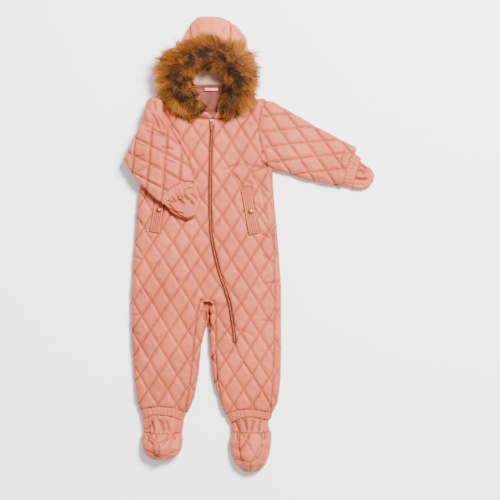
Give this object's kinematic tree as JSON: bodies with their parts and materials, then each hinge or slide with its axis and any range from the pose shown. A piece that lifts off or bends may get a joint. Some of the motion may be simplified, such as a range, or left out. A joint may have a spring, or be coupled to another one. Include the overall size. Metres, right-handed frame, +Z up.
{
  "type": "baby snowsuit",
  "caption": "Quilted one-piece baby snowsuit laid face up, with a fur-trimmed hood, a long off-centre zip, mitts and booties",
  "frame": {"origin": "centre of the laid suit's outline, on the surface that it lies on", "axes": "+Y towards the hood, +X towards the wearer's left, +Z up from the surface"},
  "size_m": [0.496, 0.909, 0.084],
  "materials": {
    "quilted_cloth": "woven nylon with a slight sheen, wadded and quilted in diamonds",
    "hood_inside_cloth": "soft brushed lining",
    "neck_cloth": "smooth woven lining",
    "label_cloth": "bare woven satin label",
    "fur": "long soft pile, dark at its base and golden outside",
    "zip_tape": "woven tape",
    "zip_metal": "satin rose copper plating",
    "snap_metal": "satin brass plating"
  },
  "bodies": {
    "suit": {"front_right": "quilted_cloth", "front_left": "quilted_cloth", "back": "quilted_cloth", "hood_center": "quilted_cloth", "hood_side_right": "quilted_cloth", "hood_side_left": "quilted_cloth", "hood_lining": "hood_inside_cloth", "neck_lining": "neck_cloth", "neck_label": "label_cloth", "fur_trim": "fur", "sleeve_right": "quilted_cloth", "sleeve_left": "quilted_cloth", "sleeve_cuff_right": "quilted_cloth", "sleeve_cuff_left": "quilted_cloth", "mitten_back_right": "quilted_cloth", "mitten_front_right": "quilted_cloth", "mitten_back_left": "quilted_cloth", "mitten_front_left": "quilted_cloth", "leg_cuff_right": "quilted_cloth", "leg_cuff_left": "quilted_cloth", "ankle_right": "quilted_cloth", "ankle_left": "quilted_cloth", "bootie_vamp_right": "quilted_cloth", "bootie_wall_right": "quilted_cloth", "bootie_sole_right": "quilted_cloth", "bootie_vamp_left": "quilted_cloth", "bootie_wall_left": "quilted_cloth", "bootie_sole_left": "quilted_cloth", "pocket_welt_right": "quilted_cloth", "pocket_welt_left": "quilted_cloth", "snap_right": "snap_metal", "snap_left": "snap_metal", "zip_tape_right": "zip_tape", "zip_tape_left": "zip_tape", "zip_chain": "zip_metal", "zip_slider": "zip_metal"},
    "zip_pull": {"zip_pull": "zip_metal"}
  },
  "joints": [
    {"name": "zip_pull_hinge", "type": "hinge", "parent": "suit", "child": "zip_pull", "pos_m": [-0.0756, 0.2426, 0.0307], "axis": [-1, 0, 0], "range_deg": [0, 160]}
  ]
}
